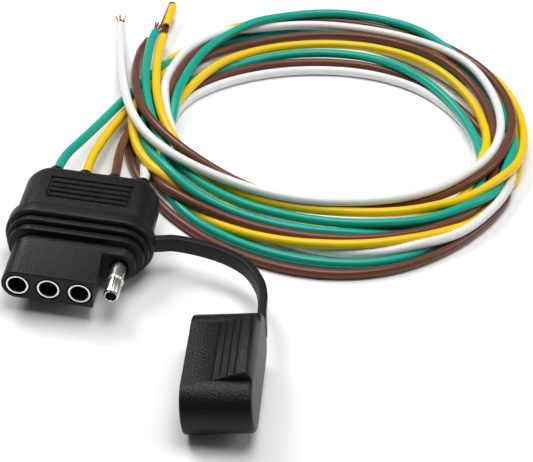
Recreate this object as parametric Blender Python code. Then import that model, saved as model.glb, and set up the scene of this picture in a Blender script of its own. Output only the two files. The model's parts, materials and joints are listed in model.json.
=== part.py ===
"""Four-way flat trailer wiring connector: plug, tethered dust cap and coiled leads.

Metres, +Z up. The plug rests on the tether collar's flat underside at the origin,
its mating nose faces -Y and its leads leave towards +Y.
"""
import math

import bmesh
import bpy
from mathutils import Matrix, Vector

for old in list(bpy.data.objects):
    bpy.data.objects.remove(old, do_unlink=True)

# ---- driving sizes ---------------------------------------------------------
PITCH = 0.0075            # terminal spacing of the flat four-way pattern
CLEAR = 0.0003            # gap left between neighbouring pieces
END_FLAT = 0.00015        # half of the small flat at the end of each oval outline

NOSE_R = 0.00395          # half thickness of the nose
NOSE_FRONT_Y = -0.0213
STUB_Y = -0.00965         # shoulder the pin stands on
NOSE_SIDE_WALL = 0.00035  # plastic left beside the last socket
FLANGE_R = 0.0059
FLANGE_FRONT_Y = -0.0067
FLANGE_THICK = 0.00205
BLOCK_TAIL_R = 0.0042
BLOCK_TAIL_Y = 0.0030

COLLAR_R = 0.00815        # outer half height of the tether collar
COLLAR_INNER_R = 0.0057
COLLAR_THICK = 0.0044
LIP_R = 0.0070
GRIP_HALF_H = 0.0063
GRIP_SIDE_R = 0.0050
GRIP_REAR_Y = 0.0197
GRIP_CORNER_R = 0.0045
GROOVE_COUNT = 5
GROOVE_STEP = 0.00196
GROOVE_FIRST_Y = 0.00695
GROOVE_HALF_LEN = 0.0101
GROOVE_W = 0.0005
GROOVE_DEPTH = 0.00045
BOSS_END_Y = 0.02575
BOSS_WALL = 0.0006

SOCKET_R = 0.00275
SOCKET_WALL = 0.00055
SOCKET_LEN = 0.0128
SOCKET_DEPTH = 0.0118
PIN_R = 0.00195
PIN_TIP_Y = -0.02065
SHANK_R = 0.0015
CRIMP_R = 0.0016
CRIMP_WALL = 0.00055
CRIMP_FRONT_Y = 0.0036
CRIMP_LEN = 0.0054
CORE_R = 0.00075
WIRE_R = 0.0012
LEAD_START_Y = 0.0110

STRAP_T = 0.0021          # strap thickness, seen from above
STRAP_W = 0.0041          # strap width, standing on edge
STRAP_EDGE = 0.00025

CAP_CLEAR = 0.00035       # free play between the nose and the cap's cavity
CAP_WALL = 0.00235
CAP_END_WALL = 0.0014
CAP_DEPTH = 0.0163
CAP_INSET = 0.0008        # the cap's outline is this much shorter in its straight part
CAP_YAW = math.radians(1.7)
CAP_TILT = math.radians(-11.3)
CAP_POS = (0.0493, -0.04117)
WEDGE_HALF_LEN = 0.0100
WEDGE_STEPS = 4
WEDGE_START = 0.0093
WEDGE_END = 0.0013
WEDGE_RISE = 0.0023

COIL_CENTRE = (0.0590, 0.0677)
COIL_OUTER = (0.0550, 0.0633)   # half width and half length of the coil's oval
COIL_INNER = (0.0400, 0.0325)
COIL_H = 0.0090

# ---- sizes that follow -----------------------------------------------------
AXIS_Z = COLLAR_R
HALF = 1.5 * PITCH
FLANGE_HALF = HALF - 0.00035
LIP_HALF = HALF - 0.00055
COLLAR_HALF = HALF - 0.00083
GRIP_HALF_W = HALF + 0.00585
NECK_R = COLLAR_INNER_R - CLEAR
FLANGE_REAR_Y = FLANGE_FRONT_Y + FLANGE_THICK
CAVITY_R = BLOCK_TAIL_R + CLEAR
CAVITY_END_Y = BLOCK_TAIL_Y + CLEAR
BORE_R = WIRE_R + CLEAR
CRIMP_END_Y = CRIMP_FRONT_Y + CRIMP_LEN
CRIMP_BORE_Y = CRIMP_FRONT_Y + 0.0008
COLOURS = ("green", "yellow", "brown", "white")
TERMINAL_X = [(k - 1.5) * PITCH for k in range(4)]
PAINT = {
    "green": (0.0, 0.40, 0.27),
    "yellow": (0.95, 0.68, 0.0),
    "brown": (0.19, 0.07, 0.04),
    "white": (0.86, 0.87, 0.85),
}


# ---- helpers ---------------------------------------------------------------
def material(name, rgb, rough, metal=0.0):
    made = bpy.data.materials.new(name)
    made.use_nodes = True
    shader = made.node_tree.nodes["Principled BSDF"]
    shader.inputs["Base Color"].default_value = (rgb[0], rgb[1], rgb[2], 1.0)
    shader.inputs["Roughness"].default_value = rough
    shader.inputs["Metallic"].default_value = metal
    return made


def publish(name, bm, mat=None, origin=(0.0, 0.0, 0.0)):
    """Turn a bmesh in world coordinates into a named object with the given origin."""
    bmesh.ops.remove_doubles(bm, verts=bm.verts, dist=1e-7)
    bmesh.ops.recalc_face_normals(bm, faces=bm.faces)
    for face in bm.faces:
        face.smooth = True
    for edge in bm.edges:
        edge.smooth = edge.calc_face_angle(0.0) < math.radians(32)
    mesh = bpy.data.meshes.new(name)
    bm.transform(Matrix.Translation(-Vector(origin)))
    bm.to_mesh(mesh)
    bm.free()
    made = bpy.data.objects.new(name, mesh)
    made.location = origin
    bpy.context.collection.objects.link(made)
    if mat:
        mesh.materials.append(mat)
    return made


def boolean(target, tool, operation):
    """Join or cut target with a tool body that is itself not part of the model."""
    step = target.modifiers.new(tool.name, "BOOLEAN")
    step.operation = operation
    step.solver = "EXACT"
    step.object = tool
    tool.hide_render = True
    tool.display_type = "WIRE"


def outline(half_w, half_h, corner, seg=6):
    """Rounded rectangle in two axes, counter-clockwise from the right-hand side."""
    corner = min(corner, half_h - END_FLAT, half_w - END_FLAT)
    pts = []
    for quarter, (sx, sy) in enumerate(((1, 1), (-1, 1), (-1, -1), (1, -1))):
        for k in range(seg + 1):
            turn = math.pi / 2 * (quarter + k / seg)
            pts.append((sx * (half_w - corner) + corner * math.cos(turn),
                        sy * (half_h - corner) + corner * math.sin(turn)))
    return pts


def loft(bm, rings, closed=False):
    """Skin a list of equal-length rings of 3-D points; closed joins last to first."""
    made = [[bm.verts.new(p) for p in ring] for ring in rings]
    pairs = list(zip(made, made[1:]))
    if closed:
        pairs.append((made[-1], made[0]))
    count = len(rings[0])
    for first, second in pairs:
        for k in range(count):
            n = (k + 1) % count
            bm.faces.new((first[k], first[n], second[n], second[k]))
    if not closed:
        bm.faces.new(made[0])
        bm.faces.new(made[-1])


def y_ring(y, half_w, half_h, corner, seg=6):
    return [Vector((x, y, AXIS_Z + z)) for x, z in outline(half_w, half_h, corner, seg)]


def oval(y, half, radius, inset=0.0, seg=6):
    """Ring of the oval used by the nose, flange, lip and collar."""
    return y_ring(y, half + radius - inset, radius - inset, radius - inset, seg)


def turn_profile(bm, profile, place, seg):
    """Revolve (distance, radius) pairs about an axis given by a 4x4 placement."""
    rows = []
    for dist, radius in profile:
        if radius == 0.0:
            rows.append([bm.verts.new(place @ Vector((0.0, 0.0, dist)))])
            continue
        row = []
        for k in range(seg):
            turn = 2 * math.pi * k / seg
            row.append(bm.verts.new(place @ Vector(
                (radius * math.cos(turn), radius * math.sin(turn), dist))))
        rows.append(row)
    for first, second in zip(rows, rows[1:]):
        for k in range(seg):
            n = (k + 1) % seg
            if len(first) == 1:
                bm.faces.new((first[0], second[k], second[n]))
            elif len(second) == 1:
                bm.faces.new((first[k], first[n], second[0]))
            else:
                bm.faces.new((first[k], first[n], second[n], second[k]))


def along(start, end):
    """Placement whose +Z runs from start towards end."""
    way = Vector(end) - Vector(start)
    turn = way.to_track_quat("Z", "Y").to_matrix().to_4x4()
    return Matrix.Translation(Vector(start)) @ turn


def terminal_axis(x):
    return along((x, 0.0, AXIS_Z), (x, 1.0, AXIS_Z))


def box(bm, low, high):
    size = Vector(high) - Vector(low)
    mid = (Vector(high) + Vector(low)) / 2
    place = Matrix.Translation(mid) @ Matrix.Diagonal((size.x, size.y, size.z, 1.0))
    bmesh.ops.create_cube(bm, size=1.0, matrix=place)


def prism(bm, pts, axis_point):
    """Extrude a closed list of 2-D points; axis_point maps (point, side 0 or 1) to 3-D."""
    low = [bm.verts.new(axis_point(p, 0)) for p in pts]
    high = [bm.verts.new(axis_point(p, 1)) for p in pts]
    for k in range(len(pts)):
        n = (k + 1) % len(pts)
        bm.faces.new((low[k], low[n], high[n], high[k]))
    bm.faces.new(low)
    bm.faces.new(high)


def smooth_route(route, spacing):
    """Even points on a smooth curve through the route points."""
    pts = [Vector(p) for p in route]
    ends = [2 * pts[0] - pts[1]] + pts + [2 * pts[-1] - pts[-2]]
    fine = []
    for a, b, c, d in zip(ends, ends[1:], ends[2:], ends[3:]):
        for k in range(40):
            t = k / 40
            fine.append(0.5 * (2 * b + (c - a) * t + (2 * a - 5 * b + 4 * c - d) * t * t
                               + (3 * b - a - 3 * c + d) * t ** 3))
    fine.append(pts[-1])
    total = sum((q - p).length for p, q in zip(fine, fine[1:]))
    count = max(3, round(total / spacing))
    out = [fine[0]]
    run = 0.0
    for p, q in zip(fine, fine[1:]):
        run += (q - p).length
        if run >= total / count * len(out) and len(out) < count:
            out.append(q.copy())
    out.append(fine[-1])
    return out


def tube(name, route, radius, mat, spacing=0.0055):
    """Cord solid: a bevelled poly curve with filled ends."""
    curve = bpy.data.curves.new(name, "CURVE")
    curve.dimensions = "3D"
    curve.bevel_depth = radius
    curve.bevel_resolution = 2
    curve.use_fill_caps = True
    pts = smooth_route(route, spacing)
    line = curve.splines.new("POLY")
    line.points.add(len(pts) - 1)
    for slot, p in zip(line.points, pts):
        slot.co = (p.x, p.y, p.z, 1.0)
    made = bpy.data.objects.new(name, curve)
    curve.materials.append(mat)
    bpy.context.collection.objects.link(made)
    return made


# ---- terminal block --------------------------------------------------------
block_black = material("terminal_block", (0.018, 0.018, 0.020), 0.55)
bm = bmesh.new()
loft(bm, [
    oval(NOSE_FRONT_Y, HALF, NOSE_R, 0.0004),
    oval(NOSE_FRONT_Y + 0.0004, HALF, NOSE_R),
    oval(FLANGE_FRONT_Y, HALF, NOSE_R),
    oval(FLANGE_FRONT_Y, FLANGE_HALF, FLANGE_R, 0.0004),
    oval(FLANGE_FRONT_Y + 0.0004, FLANGE_HALF, FLANGE_R),
    oval(FLANGE_REAR_Y - 0.0002, FLANGE_HALF, FLANGE_R),
    oval(FLANGE_REAR_Y, FLANGE_HALF, FLANGE_R, 0.0002),
    oval(FLANGE_REAR_Y, COLLAR_HALF, BLOCK_TAIL_R),
    oval(BLOCK_TAIL_Y, COLLAR_HALF, BLOCK_TAIL_R),
])
terminal_block = publish("terminal_block", bm, block_black)

bm = bmesh.new()
box(bm, (TERMINAL_X[2] + SOCKET_R + CLEAR + NOSE_SIDE_WALL, NOSE_FRONT_Y - 0.002,
         AXIS_Z - NOSE_R - 0.002),
    (HALF + NOSE_R + 0.003, STUB_Y, AXIS_Z + NOSE_R + 0.002))
boolean(terminal_block, publish("cut_pin_side", bm), "DIFFERENCE")

SOCKET_REAR_Y = NOSE_FRONT_Y + SOCKET_LEN
PIN_SHOULDER_Y = STUB_Y + 0.00165
bm = bmesh.new()
for x in TERMINAL_X[:3]:
    turn_profile(bm, [(NOSE_FRONT_Y - 0.001, 0.0),
                      (NOSE_FRONT_Y - 0.001, SOCKET_R + CLEAR),
                      (SOCKET_REAR_Y + CLEAR, SOCKET_R + CLEAR),
                      (SOCKET_REAR_Y + CLEAR, SHANK_R + CLEAR),
                      (BLOCK_TAIL_Y + 0.001, SHANK_R + CLEAR),
                      (BLOCK_TAIL_Y + 0.001, 0.0)], terminal_axis(x), 28)
turn_profile(bm, [(STUB_Y - 0.001, 0.0),
                  (STUB_Y - 0.001, PIN_R + 2 * CLEAR),
                  (STUB_Y + 0.0004, PIN_R + 2 * CLEAR),
                  (STUB_Y + 0.0004, PIN_R + CLEAR),
                  (PIN_SHOULDER_Y + CLEAR, PIN_R + CLEAR),
                  (PIN_SHOULDER_Y + CLEAR, SHANK_R + CLEAR),
                  (BLOCK_TAIL_Y + 0.001, SHANK_R + CLEAR),
                  (BLOCK_TAIL_Y + 0.001, 0.0)], terminal_axis(TERMINAL_X[3]), 28)
boolean(terminal_block, publish("cut_terminal_bores", bm), "DIFFERENCE")

# ---- grip overmould --------------------------------------------------------
grip_black = material("grip_overmould", (0.016, 0.016, 0.018), 0.70)
LIP_FRONT_Y = FLANGE_REAR_Y + CLEAR
NECK_Y = COLLAR_THICK / 2 + CLEAR
rings = [
    oval(LIP_FRONT_Y, LIP_HALF, LIP_R, 0.0006),
    oval(LIP_FRONT_Y + 0.0002, LIP_HALF, LIP_R, 0.0002),
    oval(LIP_FRONT_Y + 0.0006, LIP_HALF, LIP_R),
    oval(-NECK_Y - 0.0004, LIP_HALF, LIP_R),
    oval(-NECK_Y, LIP_HALF, LIP_R, 0.0004),
    oval(-NECK_Y, COLLAR_HALF, NECK_R),
    oval(NECK_Y, COLLAR_HALF, NECK_R),
    y_ring(NECK_Y, GRIP_HALF_W - 0.0008, GRIP_HALF_H - 0.0006, GRIP_SIDE_R),
    y_ring(NECK_Y + 0.0003, GRIP_HALF_W - 0.0002, GRIP_HALF_H - 0.00015, GRIP_SIDE_R),
    y_ring(NECK_Y + 0.0009, GRIP_HALF_W, GRIP_HALF_H, GRIP_SIDE_R),
]
for k in range(7):
    turn = math.pi / 2 * k / 6
    drop = max(0.0, math.sin(turn) - 0.62) / 0.38
    rings.append(y_ring(GRIP_REAR_Y - GRIP_CORNER_R * (1 - math.sin(turn)),
                        GRIP_HALF_W - GRIP_CORNER_R * (1 - math.cos(turn)),
                        GRIP_HALF_H - 0.0017 * (1 - math.sqrt(1 - drop ** 2)),
                        GRIP_SIDE_R - 0.0006 * drop))
bm = bmesh.new()
loft(bm, rings)
grip_overmould = publish("grip_overmould", bm, grip_black)

BOSS_R = BORE_R + BOSS_WALL
bm = bmesh.new()
for x in TERMINAL_X:
    turn_profile(bm, [(GRIP_REAR_Y - 0.006, 0.0), (GRIP_REAR_Y - 0.006, BOSS_R),
                      (BOSS_END_Y - 0.0003, BOSS_R), (BOSS_END_Y, BOSS_R - 0.0003),
                      (BOSS_END_Y, 0.0)], terminal_axis(x), 20)
boolean(grip_overmould, publish("add_bosses", bm), "UNION")

bm = bmesh.new()
loft(bm, [oval(LIP_FRONT_Y - 0.001, COLLAR_HALF, CAVITY_R),
          oval(CAVITY_END_Y, COLLAR_HALF, CAVITY_R)])
boolean(grip_overmould, publish("cut_block_cavity", bm), "DIFFERENCE")

bm = bmesh.new()
for x in TERMINAL_X:
    turn_profile(bm, [(CAVITY_END_Y - 0.001, 0.0),
                      (CAVITY_END_Y - 0.001, CRIMP_R + CLEAR),
                      (CRIMP_END_Y + CLEAR, CRIMP_R + CLEAR),
                      (CRIMP_END_Y + CLEAR, BORE_R),
                      (BOSS_END_Y + 0.001, BORE_R),
                      (BOSS_END_Y + 0.001, 0.0)], terminal_axis(x), 16)
boolean(grip_overmould, publish("cut_wire_bores", bm), "DIFFERENCE")

PANEL_TOP = AXIS_Z + GRIP_HALF_H
PANEL_END_Y = GROOVE_FIRST_Y + (GROOVE_COUNT - 1) * GROOVE_STEP
bm = bmesh.new()
for k in range(GROOVE_COUNT):
    y = GROOVE_FIRST_Y + k * GROOVE_STEP
    box(bm, (-GROOVE_HALF_LEN, y - GROOVE_W / 2, PANEL_TOP - GROOVE_DEPTH),
        (GROOVE_HALF_LEN, y + GROOVE_W / 2, PANEL_TOP + 0.002))
boolean(grip_overmould, publish("cut_panel_grooves", bm), "DIFFERENCE")
bm = bmesh.new()
for side in (-1, 1):
    x = side * GROOVE_HALF_LEN
    box(bm, (x - GROOVE_W / 2, GROOVE_FIRST_Y - GROOVE_W / 2 - 0.0001,
             PANEL_TOP - GROOVE_DEPTH + 0.0001),
        (x + GROOVE_W / 2, PANEL_END_Y + GROOVE_W / 2 + 0.0001, PANEL_TOP + 0.003))
boolean(grip_overmould, publish("cut_panel_ends", bm), "DIFFERENCE")

# ---- terminals and crimped cores -------------------------------------------
CRIMP_TAIL = [(CRIMP_FRONT_Y, SHANK_R), (CRIMP_FRONT_Y, CRIMP_R), (CRIMP_END_Y, CRIMP_R),
              (CRIMP_END_Y, CRIMP_R - CRIMP_WALL), (CRIMP_BORE_Y, CRIMP_R - CRIMP_WALL),
              (CRIMP_BORE_Y, 0.0)]
nickel = (0.78, 0.77, 0.74)
for colour, x in zip(COLOURS[:3], TERMINAL_X):
    name = "socket_" + colour
    bore = SOCKET_R - SOCKET_WALL
    bm = bmesh.new()
    turn_profile(bm, [(NOSE_FRONT_Y + SOCKET_DEPTH, 0.0), (NOSE_FRONT_Y + SOCKET_DEPTH, bore),
                      (NOSE_FRONT_Y + 0.0001, bore), (NOSE_FRONT_Y, bore + 0.0001),
                      (NOSE_FRONT_Y, SOCKET_R - 0.0001), (NOSE_FRONT_Y + 0.0001, SOCKET_R),
                      (SOCKET_REAR_Y, SOCKET_R), (SOCKET_REAR_Y, SHANK_R)] + CRIMP_TAIL,
                 terminal_axis(x), 28)
    publish(name, bm, material(name, nickel, 0.22, 1.0))

bm = bmesh.new()
turn_profile(bm, [(PIN_TIP_Y + 0.0024, 0.0), (PIN_TIP_Y + 0.0024, PIN_R - 0.0006),
                  (PIN_TIP_Y, PIN_R - 0.0006), (PIN_TIP_Y, PIN_R - 0.0004),
                  (PIN_TIP_Y + 0.0005, PIN_R - 0.0001), (-0.0147, PIN_R - 0.0001),
                  (-0.0144, PIN_R + 0.0002), (-0.0140, PIN_R + 0.0002),
                  (-0.0137, PIN_R), (PIN_SHOULDER_Y, PIN_R),
                  (PIN_SHOULDER_Y, SHANK_R)] + CRIMP_TAIL,
             terminal_axis(TERMINAL_X[3]), 28)
publish("pin_white", bm, material("pin_white", nickel, 0.18, 1.0))

for colour, x in zip(COLOURS, TERMINAL_X):
    name = "core_" + colour
    bm = bmesh.new()
    turn_profile(bm, [(CRIMP_BORE_Y + CLEAR, 0.0), (CRIMP_BORE_Y + CLEAR, CORE_R),
                      (LEAD_START_Y - CLEAR, CORE_R), (LEAD_START_Y - CLEAR, 0.0)],
                 terminal_axis(x), 12)
    publish(name, bm, material(name, (0.72, 0.30, 0.14), 0.35, 1.0))

# ---- tether collar with the strap's root -----------------------------------
rubber = (0.020, 0.020, 0.022)
HINGES = [(0.0235, 0.0028), (0.0305, 0.0021), (0.0370, 0.0001), (0.0423, -0.0035),
          (0.0458, -0.0092)]
TWIST_AT = (0.0474, -0.01765)
ROOT_POINTS = [(0.0170, 0.0011), (0.0196, 0.0016)]
HINGE_BACK = STRAP_T / 2 + CLEAR / 2


def strap_outline(start, end, round_start, round_end):
    """Plan outline of a strap piece; a rounded end stays clear of the hinge it faces."""
    a, b = Vector(start), Vector(end)
    way = (b - a).normalized()
    side = Vector((-way.y, way.x)) * (STRAP_T / 2)
    pts = []
    for tip, out, rounded in ((a + way * HINGE_BACK * round_start, -way, round_start),
                              (b - way * HINGE_BACK * round_end, way, round_end)):
        left = Vector((-out.y, out.x)) * (STRAP_T / 2)
        if rounded:
            for k in range(9):
                turn = math.pi * k / 8
                pts.append(tip - left * math.cos(turn) + out * (STRAP_T / 2) * math.sin(turn))
        else:
            pts.append(tip - left)
            pts.append(tip + left)
    return pts


def strap_body(bm, pts):
    prism(bm, pts, lambda p, side: Vector((p.x, p.y, AXIS_Z + (side - 0.5) * STRAP_W)))


def soften(obj, width):
    step = obj.modifiers.new("edge", "BEVEL")
    step.width = width
    step.segments = 1
    step.limit_method = "ANGLE"
    step.angle_limit = math.radians(60)


rings = []
for y, inset in ((-0.5, 0.0007), (-0.455, 0.0002), (-0.36, 0.0), (0.36, 0.0), (0.455, 0.0002),
                 (0.5, 0.0007)):
    rings.append(oval(y * COLLAR_THICK, COLLAR_HALF, COLLAR_R, inset, 8))
rings.append(oval(0.5 * COLLAR_THICK, COLLAR_HALF, COLLAR_INNER_R, 0.0, 8))
rings.append(oval(-0.5 * COLLAR_THICK, COLLAR_HALF, COLLAR_INNER_R, 0.0, 8))
bm = bmesh.new()
loft(bm, rings, closed=True)
tether_collar = publish("tether_collar", bm, material("tether_collar", rubber, 0.65))

root_x = COLLAR_HALF + COLLAR_R - 0.0016
a, b = Vector((root_x, ROOT_POINTS[0][1])), Vector(HINGES[0])
bm = bmesh.new()
strap_body(bm, strap_outline(a, b, 0, 1))
boolean(tether_collar, publish("add_strap_root", bm), "UNION")

# ---- strap links -----------------------------------------------------------
for k in range(4):
    start, end = HINGES[k], HINGES[k + 1]
    name = "strap_link_%d" % (k + 1)
    bm = bmesh.new()
    strap_body(bm, strap_outline(start, end, 1, 1))
    link = publish(name, bm, material(name, rubber, 0.65), (start[0], start[1], AXIS_Z))
    soften(link, STRAP_EDGE)
bm = bmesh.new()
start = Vector(HINGES[4])
strap_body(bm, strap_outline(start, (TWIST_AT[0], TWIST_AT[1] + CLEAR / 2), 1, 0))
link = publish("strap_link_5", bm, material("strap_link_5", rubber, 0.65),
               (start.x, start.y, AXIS_Z))
soften(link, STRAP_EDGE)

# ---- dust cap --------------------------------------------------------------
cap_r = NOSE_R + CAP_CLEAR + CAP_WALL
cap_half = HALF - CAP_INSET
cap_turn = Matrix.Rotation(CAP_YAW, 4, "Z") @ Matrix.Rotation(CAP_TILT, 4, "Y")
drop = math.sin(-CAP_TILT) * CAP_DEPTH + math.cos(CAP_TILT) * cap_r
cap_place = Matrix.Translation((CAP_POS[0], CAP_POS[1], drop + 0.00005)) @ cap_turn
twist_point = (TWIST_AT[0], TWIST_AT[1], AXIS_Z)


def cap_ring(depth, half, radius, inset=0.0):
    """Oval across the cap at a distance in from the closed end."""
    return [cap_place @ Vector((-depth, u, w))
            for u, w in outline(half + radius - inset, radius - inset, radius - inset, 7)]


inner_r = NOSE_R + CAP_CLEAR
bm = bmesh.new()
loft(bm, [
    cap_ring(0.0, cap_half, cap_r, 0.0010),
    cap_ring(0.0003, cap_half, cap_r, 0.0003),
    cap_ring(0.0010, cap_half, cap_r),
    cap_ring(CAP_DEPTH - 0.0004, cap_half, cap_r),
    cap_ring(CAP_DEPTH, cap_half, cap_r, 0.0004),
    cap_ring(CAP_DEPTH, HALF, inner_r, -0.0003),
    cap_ring(CAP_DEPTH - 0.0003, HALF, inner_r),
    cap_ring(CAP_END_WALL, HALF, inner_r),
])
dust_cap = publish("dust_cap", bm, material("dust_cap", rubber, 0.62), twist_point)

top = [(-WEDGE_START, cap_r - 0.0006), (-WEDGE_START, cap_r + 0.00015)]
run = (WEDGE_START - WEDGE_END - 0.0004) / WEDGE_STEPS
for k in range(WEDGE_STEPS):
    at = -WEDGE_START + run * (k + 1)
    rise = WEDGE_RISE * (k + 1) / WEDGE_STEPS
    top.append((at - 0.0001, cap_r + rise))
    if k < WEDGE_STEPS - 1:
        top.append((at + 0.0001, cap_r + rise - 0.0003))
top.append((-WEDGE_END, cap_r + WEDGE_RISE - 0.0003))
top.append((-WEDGE_END, cap_r - 0.0006))
bm = bmesh.new()
prism(bm, top, lambda p, side: cap_place @ Vector(
    (p[0], (2 * side - 1) * WEDGE_HALF_LEN, p[1])))
boolean(dust_cap, publish("add_thumb_wedge", bm), "UNION")

root_local = Vector((-0.0009, cap_half + cap_r - 0.0012, -0.0012))
tip_local = cap_place.inverted() @ Vector((TWIST_AT[0], TWIST_AT[1] - CLEAR / 2, AXIS_Z))
way = (tip_local - root_local).normalized()
across = Vector((way.y, -way.x, 0.0)).normalized() * (STRAP_T / 2)
upward = Vector((0.0, 0.0, STRAP_W / 2))
bm = bmesh.new()
ends = []
for centre, flat in ((root_local, False), (tip_local, True)):
    ring = [centre + across + upward, centre - across + upward,
            centre - across - upward, centre + across - upward]
    ring = [cap_place @ p for p in ring]
    if flat:
        for p in ring:
            p.y = TWIST_AT[1] - CLEAR / 2
    ends.append(ring)
loft(bm, ends)
boolean(dust_cap, publish("add_cap_lug", bm), "UNION")

# ---- wires -----------------------------------------------------------------
wire_paint = {c: material("insulation_" + c, PAINT[c], 0.38) for c in COLOURS}


def wire_material(node, colour):
    made = wire_paint[colour].copy()
    made.name = node
    return made


LEAD_ROUTES = {
    "green": [(-0.0103, 0.0330, 0.0083), (-0.0079, 0.0420, 0.0074), (-0.0050, 0.0532, 0.0058),
              (-0.0020, 0.0660, 0.0040), (0.0010, 0.0760, 0.0031)],
    "yellow": [(-0.0036, 0.0330, 0.0081), (-0.0031, 0.0450, 0.0066), (-0.0012, 0.0590, 0.0034),
               (0.0014, 0.0690, 0.0015), (0.0032, 0.0760, 0.0013)],
    "brown": [(0.0032, 0.0340, 0.0076), (0.0018, 0.0440, 0.0056), (0.0014, 0.0540, 0.0026),
              (0.0026, 0.0620, 0.0014)],
    "white": [(0.0113, 0.0286, 0.0081), (0.0110, 0.0314, 0.0062), (0.0106, 0.0332, 0.0042)],
}
TAIL_ROUTES = {
    "green": [(0.0026, 0.0790, 0.0058), (0.0017, 0.0890, 0.0052), (0.0014, 0.0975, 0.0048),
              (0.0019, 0.1052, 0.0044)],
    "yellow": [(0.0048, 0.0870, 0.0061), (0.0045, 0.0950, 0.0051), (0.0047, 0.1034, 0.0043)],
    "brown": [(0.0003, 0.0745, 0.0064), (-0.0010, 0.0830, 0.0036), (-0.0016, 0.0910, 0.0020),
              (-0.0012, 0.0985, 0.0014), (0.0000, 0.1045, 0.0014)],
    "white": [(0.0004, 0.0610, 0.0088), (-0.0022, 0.0720, 0.0078), (-0.0046, 0.0840, 0.0060),
              (-0.0068, 0.0950, 0.0040), (-0.0085, 0.1040, 0.0026), (-0.0096, 0.1106, 0.0018)],
}
STRAND_ENDS = {
    "green": (0.0021, 0.1094, 0.0054),
    "yellow": (0.0047, 0.1202, 0.0046),
    "brown": (0.0038, 0.1262, 0.0014),
    "white": (-0.0098, 0.1138, 0.0019),
}
SLUGS = {
    "yellow": ((0.0044, 0.1094, 0.0042), (0.0048, 0.1206, 0.0046)),
    "brown": ((0.0032, 0.1138, 0.0014), (0.0038, 0.1268, 0.0014)),
}
for colour, x in zip(COLOURS, TERMINAL_X):
    route = [(x, LEAD_START_Y, AXIS_Z), (x, 0.5 * (LEAD_START_Y + BOSS_END_Y), AXIS_Z),
             (x, BOSS_END_Y + 0.0005, AXIS_Z)] + LEAD_ROUTES[colour]
    tube("lead_" + colour, route, WIRE_R, wire_material("lead_" + colour, colour))
    tube("tail_" + colour, TAIL_ROUTES[colour], WIRE_R,
         wire_material("tail_" + colour, colour))

for colour in COLOURS:
    name = "strands_" + colour
    last, before = Vector(TAIL_ROUTES[colour][-1]), Vector(TAIL_ROUTES[colour][-2])
    start = last + (last - before).normalized() * CLEAR
    end = Vector(STRAND_ENDS[colour])
    if colour in SLUGS:
        mouth = Vector(SLUGS[colour][0])
        route = [start, start.lerp(mouth, 0.5), mouth, mouth.lerp(end, 0.5), end]
    else:
        route = [start, start.lerp(end, 0.5), end]
    tube(name, route, CORE_R * 0.6, material(name, (0.72, 0.30, 0.14), 0.35, 1.0), 0.0015)

for colour, (start, end) in SLUGS.items():
    name = "slug_" + colour
    length = (Vector(end) - Vector(start)).length
    bm = bmesh.new()
    inner = CORE_R * 0.6 + CLEAR
    place = along(start, end)
    rows = []
    for dist, radius in ((0.0, inner), (0.0, WIRE_R), (length, WIRE_R), (length, inner)):
        rows.append([place @ Vector((radius * math.cos(math.pi * k / 7),
                                     radius * math.sin(math.pi * k / 7), dist))
                     for k in range(14)])
    loft(bm, rows, closed=True)
    publish(name, bm, wire_material(name, colour))

# ---- coil ------------------------------------------------------------------
place = Matrix.Translation((COIL_CENTRE[0], COIL_CENTRE[1], COIL_H / 2))
rows = []
for k in range(72):
    turn = 2 * math.pi * k / 72
    outer = Vector((COIL_OUTER[0] * math.cos(turn), COIL_OUTER[1] * math.sin(turn), 0.0))
    inner = Vector((COIL_INNER[0] * math.cos(turn), COIL_INNER[1] * math.sin(turn), 0.0))
    mid = (outer + inner) / 2
    away = (outer - inner).normalized()
    section = outline((outer - inner).length / 2, COIL_H / 2, 0.0030, 2)
    rows.append([place @ (mid + away * u + Vector((0.0, 0.0, w))) for u, w in section])
bm = bmesh.new()
loft(bm, rows, closed=True)
publish("wire_coil", bm, wire_material("wire_coil", "green"))
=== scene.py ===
"""Looks for the flat four-way trailer connector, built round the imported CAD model."""
import json
import math

import bmesh
import bpy
import numpy as np
from mathutils import Matrix, Vector


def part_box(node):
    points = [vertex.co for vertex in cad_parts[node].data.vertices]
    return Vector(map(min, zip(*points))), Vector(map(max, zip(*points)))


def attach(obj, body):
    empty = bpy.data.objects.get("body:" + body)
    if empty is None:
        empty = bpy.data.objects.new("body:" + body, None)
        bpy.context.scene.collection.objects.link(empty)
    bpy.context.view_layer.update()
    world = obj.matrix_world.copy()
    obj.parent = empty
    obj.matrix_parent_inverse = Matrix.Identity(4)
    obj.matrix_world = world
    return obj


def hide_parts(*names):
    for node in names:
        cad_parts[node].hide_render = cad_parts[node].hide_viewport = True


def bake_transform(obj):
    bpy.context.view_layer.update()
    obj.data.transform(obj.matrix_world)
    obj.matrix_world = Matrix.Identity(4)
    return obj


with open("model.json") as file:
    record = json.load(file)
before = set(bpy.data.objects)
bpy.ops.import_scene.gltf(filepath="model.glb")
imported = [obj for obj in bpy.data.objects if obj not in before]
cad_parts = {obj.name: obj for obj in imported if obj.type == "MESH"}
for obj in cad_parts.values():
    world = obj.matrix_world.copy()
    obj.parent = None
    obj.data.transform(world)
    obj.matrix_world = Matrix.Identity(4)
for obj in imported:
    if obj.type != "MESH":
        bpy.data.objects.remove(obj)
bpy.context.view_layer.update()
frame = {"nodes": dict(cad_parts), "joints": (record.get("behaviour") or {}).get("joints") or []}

bl_info = {
    "name": "Trailer Wiring Connector",
    "version": (1, 0, 0),
    "blender": (4, 5, 0),
    "location": "3D View > Sidebar > Connector",
    "description": "Builds a flat four-way trailer connector with its cap, strap and coiled wires",
    "category": "Object",
}

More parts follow.
